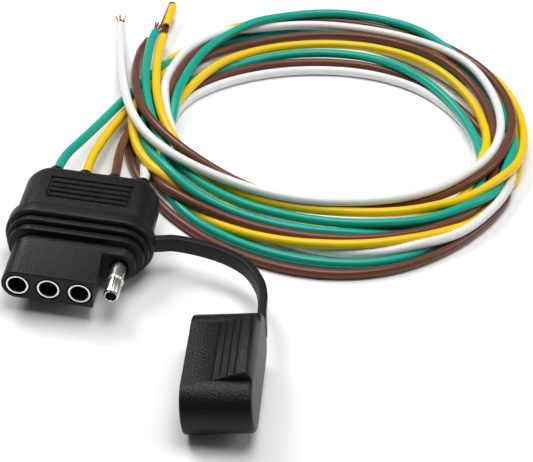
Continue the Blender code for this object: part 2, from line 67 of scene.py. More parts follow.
MM = 0.001
PITCH = 7.5 * MM
COLOURS = ("green", "yellow", "brown", "white")
AXIS_Z = float(sum(p.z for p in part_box("socket_green"))) / 2
TERMINAL_X = [float(sum(p.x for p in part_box(n))) / 2
              for n in ("socket_green", "socket_yellow", "socket_brown", "pin_white")]
HINGES = [Vector(j["pos_m"]) for j in frame["joints"]]

# plug sizes, the same as the CAD's
HALF = 1.5 * PITCH
NOSE_R, NOSE_FRONT_Y, STUB_Y = 3.95 * MM, -21.3 * MM, -9.65 * MM
FLANGE_R, FLANGE_FRONT_Y, FLANGE_REAR_Y = 5.9 * MM, -6.7 * MM, -4.65 * MM
BLOCK_TAIL_R, BLOCK_TAIL_Y = 4.2 * MM, 3.0 * MM
FLANGE_HALF, LIP_HALF, COLLAR_HALF = HALF - 0.35 * MM, HALF - 0.55 * MM, HALF - 0.83 * MM
COLLAR_R, COLLAR_INNER_R, COLLAR_THICK = 8.15 * MM, 5.7 * MM, 4.4 * MM
LIP_R, LIP_FRONT_Y, NECK_R, NECK_Y = 7.0 * MM, -4.35 * MM, 5.4 * MM, 2.5 * MM
GRIP_HALF_W, GRIP_HALF_H, GRIP_SIDE_R = HALF + 5.85 * MM, 6.3 * MM, 5.0 * MM
GRIP_REAR_Y, GRIP_CORNER_R = 19.7 * MM, 4.5 * MM
GROOVE_FIRST_Y, GROOVE_STEP, GROOVE_COUNT = 6.95 * MM, 1.96 * MM, 5
GROOVE_HALF_LEN, GROOVE_W, GROOVE_DEPTH = 10.1 * MM, 0.5 * MM, 0.45 * MM
BOSS_END_Y, BOSS_R, BORE_R = 25.75 * MM, 2.1 * MM, 1.5 * MM
SOCKET_R, SOCKET_WALL, SOCKET_DEPTH, SOCKET_LEN = 2.75 * MM, 0.55 * MM, 11.8 * MM, 12.8 * MM
PIN_R, PIN_TIP_Y, PIN_SHOULDER_Y = 1.95 * MM, -20.65 * MM, -8.0 * MM
SHANK_R, CRIMP_R, CRIMP_FRONT_Y, CRIMP_END_Y = 1.5 * MM, 1.6 * MM, 3.6 * MM, 9.0 * MM
CLEAR = 0.3 * MM

# cap sizes and place
CAP_R, CAP_INNER_R, CAP_HALF, CAP_DEPTH = 6.65 * MM, 4.3 * MM, 10.45 * MM, 16.3 * MM
CAP_END_WALL = 1.4 * MM
WEDGE_HALF_LEN, WEDGE_START, WEDGE_RISE = 10.0 * MM, 9.3 * MM, 2.3 * MM
CAP_TILT = math.radians(11.3)
CAP_PLACE = (Matrix.Translation((49.3 * MM, -41.17 * MM, math.sin(CAP_TILT) * CAP_DEPTH
                                 + math.cos(CAP_TILT) * CAP_R + 0.05 * MM))
             @ Matrix.Rotation(math.radians(1.7), 4, "Z") @ Matrix.Rotation(-CAP_TILT, 4, "Y"))
STRAP_T, STRAP_W = 2.1 * MM, 4.1 * MM


# ---- shading helpers -------------------------------------------------------
class Value:
    """A shader socket that can be used in sums; each operation adds one Math node."""

    def __init__(self, tree, socket):
        self.tree = tree
        self.socket = socket

    def math(self, kind, *others, first=None):
        node = self.tree.nodes.new("ShaderNodeMath")
        node.operation = kind
        for slot, item in zip(node.inputs, ([self] if first is None else [first]) + list(others)):
            if isinstance(item, Value):
                self.tree.links.new(item.socket, slot)
            else:
                slot.default_value = item
        return Value(self.tree, node.outputs[0])

    def __add__(self, other):
        return self.math("ADD", other)

    __radd__ = __add__

    def __mul__(self, other):
        return self.math("MULTIPLY", other)

    __rmul__ = __mul__

    def __sub__(self, other):
        return self.math("SUBTRACT", other)

    def __rsub__(self, other):
        return self.math("SUBTRACT", self, first=other)


class Finish:
    """One procedural material."""

    def __init__(self, name):
        self.made = bpy.data.materials.new(name)
        self.made.use_nodes = True
        self.tree = self.made.node_tree
        self.shader = self.tree.nodes["Principled BSDF"]
        self.place = self.node("ShaderNodeTexCoord", out="Object")

    def fill(self, slot, item):
        """Link a Value to a socket, or set the socket to a number, a vector or a colour."""
        if isinstance(item, Value):
            self.tree.links.new(item.socket, slot)
        else:
            slot.default_value = (*item[:3], 1.0) if slot.type == "RGBA" else item

    def node(self, kind, settings=None, sockets=None, out=0):
        """One node: its settings first, a ramp's stops among them, then its sockets."""
        node = self.tree.nodes.new(kind)
        for key, item in (settings or {}).items():
            if key == "stops":
                elements = node.color_ramp.elements
                while len(elements) < len(item):
                    elements.new(0.5)
                for element, (where, shade) in zip(elements, item):
                    element.position = where
                    element.color = (shade, shade, shade, 1.0)
            else:
                setattr(node, key, item)
        for key, item in (sockets or {}).items():
            self.fill(node.inputs[key], item)
        return Value(self.tree, node.outputs[out])

    def ramp(self, value, stops):
        return self.node("ShaderNodeValToRGB", {"stops": stops}, {0: value})

    def noise(self, scale, detail=2.0, rough=0.5, place=None):
        return self.node("ShaderNodeTexNoise", None,
                         {"Vector": place or self.place, "Scale": scale, "Detail": detail,
                          "Roughness": rough}, "Fac")

    def cells(self, scale):
        return self.node("ShaderNodeTexVoronoi", None, {"Vector": self.place, "Scale": scale},
                         "Distance")

    def mix(self, factor, one, two):
        """Blend two colours; each is a tuple or a Value."""
        return self.node("ShaderNodeMix", {"data_type": "RGBA"}, {0: factor, 6: one, 7: two}, 2)

    def set(self, **sockets):
        for key, item in sockets.items():
            self.fill(self.shader.inputs[key.replace("_", " ")], item)

    def bump(self, height, distance):
        self.set(Normal=self.node("ShaderNodeBump", None,
                                  {"Height": height, "Distance": distance, "Strength": 1.0},
                                  "Normal"))


def moulded_black(name, shade, grain, depth, rough, tint=(1.0, 1.0, 1.04)):
    """Spark-textured black moulding: fine pebbles, lighter patches at random, and painted glints:
    sparse specks lightened in the colour and made a little glossier.
    """
    paint = Finish(name)
    pebble = paint.cells(1.0 / grain) * 0.65 + paint.noise(0.8 / grain, 3.0, 0.6) * 0.5
    cloud = paint.noise(110.0, 3.0, 0.55)
    # Painted glints: sparse specks are lightened in the colour in place of the sparkle of light on the
    # pebbles, and their roughness is lowered a little.
    glint_speck = paint.ramp(paint.noise(0.45 / grain, 2.0, 0.5), [(0.62, 0.0), (0.78, 1.0)])
    base = tuple(shade * t for t in tint)
    painted_glint = tuple(shade * 1.9 * t + 0.004 for t in tint)
    colour = paint.mix(cloud, base, tuple(c * 1.35 for c in base))
    colour = paint.mix(glint_speck * 0.35, colour, painted_glint)
    paint.set(Base_Color=colour, Roughness=rough + cloud * 0.16 - glint_speck * 0.06,
              Specular_IOR_Level=0.24)
    paint.bump(pebble, depth)
    return paint.made


def plated_metal(name):
    """Bright nickel plate with fine turning lines round the bore and faint tarnish."""
    paint = Finish(name)
    drawn_out = paint.node("ShaderNodeMapping", None,
                           {"Vector": paint.place, "Scale": (1.0, 14.0, 1.0)})
    lines = paint.noise(900.0, 3.0, 0.6, drawn_out)
    haze = paint.noise(260.0, 4.0, 0.6)
    paint.set(Base_Color=paint.mix(haze, (0.86, 0.85, 0.83), (0.70, 0.68, 0.64)), Metallic=1.0,
              Roughness=0.20 + haze * 0.14)
    paint.bump(lines, 0.000012)
    return paint.made


def wire_vinyl(name, colour, deep):
    """Extruded vinyl insulation: even colour, a faint ripple and a soft waxy gloss."""
    paint = Finish(name)
    drift = paint.noise(38.0, 3.0, 0.5)
    fleck = paint.noise(900.0, 2.0, 0.5)
    ripple = paint.noise(420.0, 2.0, 0.4)
    base = paint.mix(drift, colour, deep)
    scuff = paint.ramp(fleck, [(0.66, 0.0), (0.80, 1.0)])
    pale = tuple(min(1.0, c * 1.2 + 0.03) for c in colour)
    paint.set(Base_Color=paint.mix(scuff * 0.35, base, pale),
              Roughness=0.32 + drift * 0.14 + scuff * 0.12, Specular_IOR_Level=0.30,
              Coat_Weight=0.22, Coat_Roughness=0.16)
    paint.bump(ripple + fleck * 0.3, 0.00003)
    return paint.made


def bare_copper(name):
    """Drawn copper strand, brighter and duller in patches."""
    paint = Finish(name)
    patch = paint.noise(1400.0, 3.0, 0.6)
    paint.set(Base_Color=paint.mix(patch, (0.46, 0.19, 0.10), (0.20, 0.07, 0.035)), Metallic=1.0,
              Roughness=0.24 + patch * 0.25)
    paint.bump(patch, 0.00002)
    return paint.made


# ---- mesh helpers ----------------------------------------------------------
SMOOTH_BELOW = math.radians(32.0)


def link_new(name, data):
    made = bpy.data.objects.new(name, data)
    bpy.context.collection.objects.link(made)
    return made


def smooth_faces(bm):
    """Smooth faces, with the edges between steeper faces kept sharp."""
    for face in bm.faces:
        face.smooth = True
    for edge in bm.edges:
        edge.smooth = edge.calc_face_angle(0.0) < SMOOTH_BELOW


def to_object(name, bm, material=None):
    bmesh.ops.remove_doubles(bm, verts=bm.verts, dist=1e-7)
    bmesh.ops.recalc_face_normals(bm, faces=bm.faces)
    smooth_faces(bm)
    mesh = bpy.data.meshes.new(name)
    bm.to_mesh(mesh)
    bm.free()
    if material:
        mesh.materials.append(material)
    return link_new(name, mesh)


def settle(obj):
    """Apply every modifier and mark the sharp edges again."""
    graph = bpy.context.evaluated_depsgraph_get()
    mesh = bpy.data.meshes.new_from_object(obj.evaluated_get(graph))
    obj.modifiers.clear()
    old = obj.data
    obj.data = mesh
    bpy.data.meshes.remove(old)
    bm = bmesh.new()
    bm.from_mesh(mesh)
    bmesh.ops.remove_doubles(bm, verts=bm.verts, dist=2e-6)
    bmesh.ops.dissolve_degenerate(bm, edges=bm.edges, dist=1e-6)
    smooth_faces(bm)
    for face in bm.faces:
        face.material_index = 0
    bm.to_mesh(mesh)
    bm.free()


def stand_for(piece, body, *nodes):
    """Let a piece ride on a body and hide the CAD nodes it stands in for."""
    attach(piece, body)
    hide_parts(*nodes)


def combine(target, tool, operation):
    step = target.modifiers.new(tool.name, "BOOLEAN")
    step.operation = operation
    step.solver = "EXACT"
    step.object = tool
    settle(target)
    bpy.data.objects.remove(tool, do_unlink=True)


def round_edges(obj, width):
    step = obj.modifiers.new("edge", "BEVEL")
    step.width = width
    step.segments = 2
    step.limit_method = "ANGLE"
    step.angle_limit = math.radians(50.0)
    step.use_clamp_overlap = True
    step.harden_normals = False
    settle(obj)


def outline(half_w, half_h, corner, seg):
    corner = min(corner, half_h - 0.0001, half_w - 0.0001)
    pts = []
    for quarter, (sx, sy) in enumerate(((1, 1), (-1, 1), (-1, -1), (1, -1))):
        for k in range(seg + 1):
            turn = math.pi / 2 * (quarter + k / seg)
            pts.append((sx * (half_w - corner) + corner * math.cos(turn),
                        sy * (half_h - corner) + corner * math.sin(turn)))
    return pts


def loft(bm, rings, closed=False):
    made = [[bm.verts.new(p) for p in ring] for ring in rings]
    pairs = list(zip(made, made[1:])) + ([(made[-1], made[0])] if closed else [])
    count = len(rings[0])
    for first, second in pairs:
        for k in range(count):
            n = (k + 1) % count
            bm.faces.new((first[k], first[n], second[n], second[k]))
    if not closed:
        bm.faces.new(made[0])
        bm.faces.new(made[-1])


def lofted(name, rings, material=None, closed=False):
    bm = bmesh.new()
    loft(bm, rings, closed)
    return to_object(name, bm, material)


SEG = 16


def y_ring(y, half_w, half_h, corner):
    return [Vector((x, y, AXIS_Z + z)) for x, z in outline(half_w, half_h, corner, SEG)]


def oval(y, half, radius, inset=0.0):
    return y_ring(y, half + radius - inset, radius - inset, radius - inset)


def quarter(steps):
    """Angles of a quarter turn, each with one less its cosine and one less its sine."""
    for k in range(steps + 1):
        turn = math.pi / 2 * k / steps
        yield turn, 1 - math.cos(turn), 1 - math.sin(turn)


def eased(y, half, radius, edge, way):
    """Rings of a rounded rim: way +1 opens from a front face, -1 closes to a rear face."""
    rings = [oval(y + way * edge * along_it, half, radius, edge * inset)
             for _, along_it, inset in quarter(4)]
    return rings if way > 0 else rings[::-1]


def turn_profile(bm, profile, x, seg):
    """Turn (distance, radius) points about the axis of the terminal at x."""
    place = terminal_axis(x)
    rows = []
    for dist, radius in profile:
        count = 1 if radius == 0.0 else seg
        rows.append([bm.verts.new(place @ Vector((radius * math.cos(2 * math.pi * k / seg),
                                                  radius * math.sin(2 * math.pi * k / seg),
                                                  dist))) for k in range(count)])
    for first, second in zip(rows, rows[1:]):
        for k in range(seg):
            n = (k + 1) % seg
            if len(first) == 1:
                bm.faces.new((first[0], second[k], second[n]))
            elif len(second) == 1:
                bm.faces.new((first[k], first[n], second[0]))
            else:
                bm.faces.new((first[k], first[n], second[n], second[k]))


def turned(name, profile, x, seg, material=None):
    bm = bmesh.new()
    turn_profile(bm, profile, x, seg)
    return to_object(name, bm, material)


def along(start, end):
    way = (Vector(end) - Vector(start)).to_track_quat("Z", "Y").to_matrix().to_4x4()
    return Matrix.Translation(Vector(start)) @ way


def terminal_axis(x):
    way = Vector((0.0, 1.0, 0.0)).to_track_quat("Z", "Y").to_matrix().to_4x4()
    return Matrix.Translation((x, 0.0, AXIS_Z)) @ way


def box(name, low, high):
    bm = bmesh.new()
    size, mid = Vector(high) - Vector(low), (Vector(high) + Vector(low)) / 2
    place = Matrix.Translation(mid) @ Matrix.Diagonal((size.x, size.y, size.z, 1.0))
    bmesh.ops.create_cube(bm, size=1.0, matrix=place)
    return to_object(name, bm)


def curve_through(route, steps=24):
    """Dense points on a smooth curve through the route points."""
    pts = [np.array(p, float) for p in route]
    ends = [2 * pts[0] - pts[1]] + pts + [2 * pts[-1] - pts[-2]]
    out = []
    for a, b, c, d in zip(ends, ends[1:], ends[2:], ends[3:]):
        for k in range(steps):
            t = k / steps
            out.append(0.5 * (2 * b + (c - a) * t + (2 * a - 5 * b + 4 * c - d) * t * t
                              + (3 * b - a - 3 * c + d) * t ** 3))
    out.append(pts[-1])
    return np.array(out)


def evenly(points, spacing):
    """The same line with points a fixed distance apart."""
    run = np.concatenate([[0.0], np.cumsum(np.linalg.norm(np.diff(points, axis=0), axis=1))])
    count = max(3, int(round(run[-1] / spacing)))
    at = np.linspace(0.0, run[-1], count + 1)
    return np.stack([np.interp(at, run, points[:, k]) for k in range(3)], axis=1)


def line_length(points):
    return float(np.linalg.norm(np.diff(points, axis=0), axis=1).sum())


# ---- wires -----------------------------------------------------------------
WIRE_R, WIRE_SKIN = 1.2 * MM, 0.04 * MM
COIL_MID = (59.0, 69.5)
LEADS = {
    "green": [(-10.3, 33.0, 8.3), (-7.9, 42.0, 7.4), (-5.0, 53.2, 5.8), (-2.0, 66.0, 4.0),
              (1.0, 76.0, 3.1)],
    "yellow": [(-3.6, 33.0, 8.1), (-3.1, 45.0, 6.6), (-1.2, 59.0, 3.4), (1.4, 69.0, 1.5),
               (3.2, 76.0, 1.3)],
    "brown": [(3.2, 34.0, 7.6), (1.8, 44.0, 5.6), (1.4, 54.0, 2.6), (2.6, 62.0, 1.4)],
    "white": [(11.3, 28.6, 8.1), (11.0, 31.4, 6.2), (10.6, 33.2, 4.2)],
}
TAILS = {
    "green": [(2.6, 79.0, 5.8), (1.7, 89.0, 5.2), (1.4, 97.5, 4.8), (1.9, 105.2, 4.4)],
    "yellow": [(4.8, 87.0, 6.1), (4.5, 95.0, 5.1), (4.7, 103.4, 4.3)],
    "brown": [(0.3, 74.5, 6.4), (-1.0, 83.0, 3.6), (-1.6, 91.0, 2.0), (-1.2, 98.5, 1.4),
              (0.0, 104.5, 1.4)],
    "white": [(0.4, 61.0, 8.8), (-2.2, 72.0, 7.8), (-4.6, 84.0, 6.0), (-6.8, 95.0, 4.0),
              (-8.5, 104.0, 2.6), (-9.6, 110.6, 1.8)],
}
# Coil route of each wire: (turn in degrees clockwise from the left, distance from the
# coil's middle, height), three passes, the last one ending where the tail starts. A place
# without a height lies on the table.
ON_TABLE = 1.3
PASSES = {
    "green": [
        (10, 56.5, 3.5), (18, 56.0, 3.2), (27, 56.3, 2.0), (45, 55.5), (90, 57.0), (135, 54.0),
        (180, 48.0), (225, 46.8, 1.6), (266, 48.1, 3.0), (281, 50.3, 3.4), (296, 52.8, 3.8),
        (311, 55.9, 4.4), (326, 57.5, 4.8), (335, 57.8, 4.6), (350, 56.0, 3.0), (362, 52.5, 1.8),
        (380, 47.0, 1.6), (399, 42.6, 2.4), (422, 41.2, 2.8), (443, 40.9, 3.0), (464, 41.5, 3.2),
        (490, 39.7, 3.3), (512, 38.6, 3.4), (536, 40.2, 3.3), (555, 43.5, 2.4), (575, 48.0, 1.4),
        (592, 53.0), (608, 57.2), (621, 58.6), (640, 59.4), (656, 59.4), (668, 59.0), (677, 57.8),
        (690, 52.5, 1.6), (700, 48.6, 3.0), (711, 47.2, 4.6), (722, 47.2, 5.0), (737, 48.8, 5.0),
        (753, 51.0, 5.0), (769, 53.4, 5.0), (788, 56.6, 5.0), (804, 58.9, 5.0), (818, 60.4, 5.0),
        (832, 59.6, 5.0), (843, 57.2, 4.6), (855, 53.9, 4.0), (880, 51.6, 3.0), (907, 50.2, 3.0),
        (929, 50.4, 3.4), (942, 49.6, 3.6), (959, 47.3, 4.0), (975, 46.0, 4.2), (992, 45.8, 4.5),
        (1008, 47.7, 5.0), (1018, 49.6, 5.5), (1030, 51.2, 6.0), (1044, 52.0, 6.3), (1057, 52.2, 6.6),
        (1070, 52.9, 6.4), (1079, 54.3, 6.0)],
    "yellow": [
        (12, 57.0), (22, 57.8), (36, 57.9), (50, 58.0), (68, 57.5), (90, 58.8), (135, 56.4),
        (180, 52.6), (225, 52.8, 2.6), (247, 53.1, 2.8), (261, 53.6, 3.0), (275, 54.8, 3.0),
        (288, 56.6, 3.0), (300, 57.8, 2.6), (311, 58.4, 2.0), (328, 55.0, 1.4), (345, 50.0, 1.4),
        (362, 46.2, 2.0), (382, 44.7, 3.0), (402, 44.8, 3.4), (424, 44.2, 3.5), (444, 45.0, 3.5),
        (462, 47.3, 3.5), (481, 48.6, 3.6), (501, 45.8, 3.6), (523, 43.7, 3.6), (540, 43.0, 3.4),
        (585, 46.0, 2.0), (630, 47.5, 1.6), (650, 48.6, 2.0), (658, 50.0, 2.4), (664, 52.2, 2.8),
        (672, 55.0, 3.0), (685, 58.6, 3.7), (696, 59.4, 3.7), (707, 59.2, 3.5), (725, 57.0, 2.4),
        (765, 56.8, 1.6), (790, 58.2, 1.4), (810, 60.0, 1.4), (851, 61.2, 1.5), (865, 59.4, 2.0),
        (879, 55.9, 3.0), (895, 53.6, 3.5), (909, 52.0, 4.0), (923, 49.8, 4.0), (938, 47.3, 4.2),
        (956, 43.6, 4.5), (974, 41.0, 4.5), (993, 41.3, 5.5), (1010, 44.4, 6.5), (1020, 46.6, 7.0),
        (1040, 48.6, 7.4), (1057, 48.5, 7.4), (1064, 49.1, 7.4), (1076, 50.4, 7.0), (1087, 53.1, 6.6)],
    "brown": [
        (0, 53.5), (21, 44.6, 1.6), (46, 39.8, 2.0), (68, 37.0, 2.0), (91, 38.0, 2.0), (112, 41.0, 2.0),
        (134, 40.4, 2.0), (150, 40.8, 1.6), (165, 44.0), (180, 48.4), (196, 51.6), (218, 53.6),
        (233, 56.3), (249, 60.4), (262, 62.8), (273, 63.8), (285, 64.0), (296, 63.4), (310, 62.2),
        (322, 61.4), (335, 60.6), (347, 59.2), (360, 56.0), (380, 51.8, 1.6), (400, 49.5, 2.4),
        (424, 48.6, 3.4), (444, 50.2, 3.7), (460, 52.2, 3.8), (478, 53.2, 4.0), (494, 50.9, 4.2),
        (510, 47.8, 4.5), (531, 45.6, 4.5), (560, 48.0, 3.4), (586, 51.1, 3.0), (596, 51.3, 3.2),
        (616, 50.2, 3.5), (631, 51.1, 3.5), (645, 53.2, 3.5), (654, 54.6, 3.5), (664, 56.4, 3.4),
        (680, 57.2, 2.6), (700, 54.8, 2.6), (720, 51.2, 3.2), (740, 50.4, 4.0), (756, 53.4, 4.0),
        (771, 55.8, 3.8), (790, 57.6, 2.8), (810, 58.6, 1.8), (835, 59.6, 2.6), (854, 58.6, 4.0),
        (869, 55.2, 4.5), (881, 52.8, 4.5), (894, 50.4, 4.5), (911, 46.6, 4.5), (930, 42.7, 4.5),
        (946, 40.3, 4.5), (960, 39.0, 4.6), (974, 38.6, 5.0), (990, 39.6, 5.6), (1010, 43.5, 6.2),
        (1030, 46.0, 6.9), (1039, 47.6, 7.6), (1047, 49.0, 8.2), (1055, 51.0, 8.4), (1063, 53.4, 8.2),
        (1072, 55.7, 7.4)],
    "white": [
        (-25, 55.0, 1.6), (0, 51.5), (45, 51.4), (90, 51.4), (135, 48.6), (180, 48.8, 1.4),
        (201, 52.2, 2.6), (213, 52.8, 2.8), (225, 53.6, 2.4), (237, 54.2, 1.8), (247, 54.4, 1.4),
        (257, 54.2), (275, 54.2), (300, 52.5), (330, 49.0), (352, 49.5), (370, 45.6), (380, 42.0),
        (386, 40.6), (410, 35.6), (435, 33.8), (460, 35.5), (483, 38.2), (494, 39.2), (520, 40.5),
        (540, 41.8), (585, 45.5), (630, 46.4), (660, 47.0, 1.4), (690, 48.2, 2.4), (705, 48.6, 3.4),
        (717, 49.2, 4.0), (727, 50.5, 4.0), (739, 52.2, 4.0), (751, 53.9, 4.2), (771, 55.0, 4.4),
        (787, 53.8, 4.8), (804, 53.2, 5.0), (830, 54.6, 5.2), (850, 55.8, 5.5), (861, 52.9, 5.6),
        (876, 49.6, 6.0), (891, 47.5, 6.0), (908, 45.0, 6.0), (926, 42.8, 6.0), (946, 40.4, 6.0),
        (960, 39.0, 6.2), (974, 38.8, 6.6), (993, 41.4, 7.5), (1008, 44.0, 8.0), (1021, 46.2, 8.7),
        (1029, 48.0, 9.0), (1036, 50.3, 9.3), (1044, 53.2, 9.5), (1052, 56.0, 9.5), (1060, 57.8, 9.3)],
}
BORE_START = 11.2


def rough_route(colour, x):
    """The wire's planned line in millimetres, from its bore to its cut end."""
    z = AXIS_Z / MM
    pts = [(x / MM, BORE_START, z), (x / MM, 0.5 * (BORE_START + BOSS_END_Y / MM), z),
           (x / MM, BOSS_END_Y / MM + 0.5, z)] + LEADS[colour]
    for turn, reach, *height in PASSES[colour]:
        a = math.radians(turn)
        pts.append((COIL_MID[0] - reach * math.cos(a), COIL_MID[1] + reach * math.sin(a),
                    height[0] if height else ON_TABLE))
    return pts + TAILS[colour]


PLAN_STEP, LAID_STEP = 3.0, 1.6     # millimetres between the points of a line
HELD_FIRST, HELD_LAST = 9, 3        # points at each end that stay where they are planned
OWN_NEIGHBOURS = 9                  # points of the same wire that don't push each other
LOOK_EVERY, LOOK_WITHIN = 10, 6.0   # rounds between searches for pairs, and their reach
MOST_LACK, MOST_SLIDE, PUSH = 0.6, 2.2, 0.25
STIFFNESS, SAG, SAG_ABOVE = 0.35, 0.02, 5.0
PULL = np.array([0.05, 0.05, 0.02])
ROUNDS = 260


def lay_wires(gap):
    """Let the four planned lines push each other apart until they lie on one another."""
    lines = {c: evenly(curve_through(rough_route(c, x)), PLAN_STEP)
             for c, x in zip(COLOURS, TERMINAL_X)}
    counts = [len(line) for line in lines.values()]
    start = np.cumsum([0] + counts)
    plan = np.concatenate(list(lines.values()))
    pts = plan.copy()
    owner = np.repeat(np.arange(len(counts)), counts)
    inner = np.ones(len(pts), bool)
    free = np.ones((len(pts), 1))
    for first, stop in zip(start, start[1:]):
        inner[[first, stop - 1]] = False
        free[first:first + HELD_FIRST] = 0.0
        free[stop - HELD_LAST:stop] = 0.0
    order = np.arange(len(pts))
    floor = (WIRE_R + WIRE_SKIN) / MM
    for turn in range(ROUNDS):
        if turn % LOOK_EVERY == 0:
            near = np.linalg.norm(pts[:, None, :] - pts[None, :, :], axis=2) < LOOK_WITHIN
            near &= order[:, None] < order[None, :]
            near &= ~((owner[:, None] == owner[None, :])
                      & (np.abs(order[:, None] - order[None, :]) < OWN_NEIGHBOURS))
            one, two = np.nonzero(near)
        ahead = np.zeros_like(pts)
        ahead[1:-1] = pts[2:] - pts[:-2]
        ahead[~inner] = 1.0
        ahead /= np.linalg.norm(ahead, axis=1)[:, None]
        apart = pts[one] - pts[two]
        slide = (apart * ahead[two]).sum(1)
        apart -= slide[:, None] * ahead[two]
        size = np.linalg.norm(apart, axis=1) + 1e-9
        lack = np.clip(gap - size, 0.0, MOST_LACK) * (np.abs(slide) < MOST_SLIDE)
        push = apart / size[:, None] * (PUSH * lack)[:, None]
        move = np.zeros_like(pts)
        np.add.at(move, one, push)
        np.add.at(move, two, -push)
        pts += move * free
        bend = np.zeros_like(pts)
        bend[1:-1] = 0.5 * (pts[2:] + pts[:-2]) - pts[1:-1]
        bend[~inner] = 0.0
        pts += bend * STIFFNESS * free
        late = turn / ROUNDS
        pts += (plan - pts) * PULL * (1 - 0.7 * late) * free
        pts[:, 2] -= SAG * (free[:, 0] > 0) * (pts[:, 2] > SAG_ABOVE) * (1 - late)
        pts[:, 2] = np.maximum(pts[:, 2], floor)
    return {name: evenly(curve_through(pts[first:stop], 3), LAID_STEP) * MM
            for name, first, stop in zip(lines, start, start[1:])}


def shape_tree(name, inputs, build):
    """Geometry nodes around the shape that build makes, with named inputs for its sizes."""
    tree = bpy.data.node_groups.new(name, "GeometryNodeTree")
    for label, kind in {"Geometry": "Geometry", **inputs, "Finish": "Material"}.items():
        tree.interface.new_socket(label, in_out="INPUT", socket_type="NodeSocket" + kind)
    tree.interface.new_socket("Geometry", in_out="OUTPUT", socket_type="NodeSocketGeometry")
    given = tree.nodes.new("NodeGroupInput").outputs

    def node(kind, **sockets):
        made = tree.nodes.new("GeometryNode" + kind)
        for label, item in sockets.items():
            slot = made.inputs[label.replace("_", " ")]
            if isinstance(item, bpy.types.NodeSocket):
                tree.links.new(item, slot)
            else:
                slot.default_value = item
        return made.outputs[0]

    real = node("RealizeInstances", Geometry=build(node, given))
    paint = node("SetMaterial", Geometry=real, Material=given["Finish"])
    tree.links.new(paint, tree.nodes.new("NodeGroupOutput").inputs[0])
    return tree


def bundle_tree():
    """Geometry nodes that sweep each strand line with a round section."""
    def build(node, given):
        line = node("MeshToCurve", Mesh=given["Geometry"])
        ring = node("CurvePrimitiveCircle", Resolution=8, Radius=given["Strand radius"])
        sweep = node("CurveToMesh", Curve=line, Profile_Curve=ring, Fill_Caps=True)
        return node("SetShadeSmooth", Geometry=sweep)
    return shape_tree("strand_bundle", {"Strand radius": "Float"}, build)


def row_tree():
    """Geometry nodes that repeat a shape along a straight row."""
    def build(node, given):
        spots = node("MeshLine", Count=given["Count"], Offset=given["Step"])
        return node("InstanceOnPoints", Points=spots, Instance=given["Geometry"])
    return shape_tree("row_of_shapes", {"Count": "Int", "Step": "Vector"}, build)


def run_tree(obj, tree, values):
    """Apply a geometry nodes tree with the given named inputs."""
    step = obj.modifiers.new(tree.name, "NODES")
    step.node_group = tree
    for item in tree.interface.items_tree:
        if item.in_out == "INPUT" and item.name in values:
            step[item.identifier] = values[item.name]
    graph = bpy.context.evaluated_depsgraph_get()
    mesh = bpy.data.meshes.new_from_object(obj.evaluated_get(graph))
    obj.modifiers.clear()
    obj.data = mesh
    return obj


STRAND_STEPS = 12
STRAND_APART, STRAND_LOWEST = 0.5 * MM, 0.3 * MM


def strand_lines(name, route, shares, spread, seed):
    """Loose copper strands as polylines that follow a route from the wire's cut end."""
    rng = np.random.default_rng(seed)
    pts = curve_through([tuple(p) for p in route], 8)
    length = line_length(pts)
    way = (Vector(pts[-1]) - Vector(pts[0])).normalized()
    side = way.orthogonal().normalized()
    other = way.cross(side)
    bm = bmesh.new()
    for k, share in enumerate(shares):
        turn = 2 * math.pi * (k + 0.4 * rng.random()) / max(1, len(shares) - 1)
        root = STRAND_APART if k else 0.0
        lean = spread * (0.2 if k == 0 else 0.6 + 0.8 * rng.random())
        out = side * math.cos(turn) + other * math.sin(turn)
        curl = rng.uniform(-0.12, 0.12)
        before = None
        for step in range(STRAND_STEPS + 1):
            t = share * step / STRAND_STEPS
            at = t * (len(pts) - 1)
            low = min(int(at), len(pts) - 2)
            spot = Vector(pts[low]).lerp(Vector(pts[low + 1]), at - low)
            spot += out * (root + lean * length * t * t) + other * (curl * length * t * (1 - t))
            spot.z = max(spot.z, STRAND_LOWEST)
            vert = bm.verts.new(spot)
            if before:
                bm.edges.new((before, vert))
            before = vert
    mesh = bpy.data.meshes.new(name)
    bm.to_mesh(mesh)
    bm.free()
    return link_new(name, mesh)


def chosen(context):
    """The sizes and colours that the user has set."""
    return context.scene.connector_sizes, context.scene.connector_colours


# ---- sizes and colours a user may change -----------------------------------
def size_prop(name, text, default):
    return bpy.props.FloatProperty(name=name, description=text, default=default, min=0.0,
                                   unit="LENGTH", precision=5)


def colour_prop(name, text, default):
    return bpy.props.FloatVectorProperty(name=name, description=text, default=default, size=3,
                                         min=0.0, max=1.0, subtype="COLOR")


class ConnectorSizes(bpy.types.PropertyGroup):
    nose_edge: size_prop("Nose edge", "Rounding on the front edge of the nose", 0.00035)
    rim_edge: size_prop("Rim edge", "Rounding on the flange, lip and collar", 0.00032)
    grain: size_prop("Grain", "Pebble size of the black moulding", 0.00040)
    wire_gap: size_prop("Wire gap", "Least distance between two wires' centre lines", 0.00246)
    strand_radius: size_prop("Strand radius", "Half thickness of one copper strand", 0.00023)


class ConnectorColours(bpy.types.PropertyGroup):
    green: colour_prop("Green wire", "Insulation colour", (0.0, 0.40, 0.29))
    yellow: colour_prop("Yellow wire", "Insulation colour", (0.95, 0.61, 0.002))
    brown: colour_prop("Brown wire", "Insulation colour", (0.150, 0.046, 0.023))
    white: colour_prop("White wire", "Insulation colour", (0.86, 0.87, 0.86))
    black: colour_prop("Black moulding", "Plug and cap colour", (0.0036, 0.0042, 0.0043))
    rubber: colour_prop("Tether rubber", "Collar and strap colour", (0.0070, 0.0070, 0.0084))
    floor: colour_prop("Floor", "Table colour", (0.93, 0.93, 0.93))


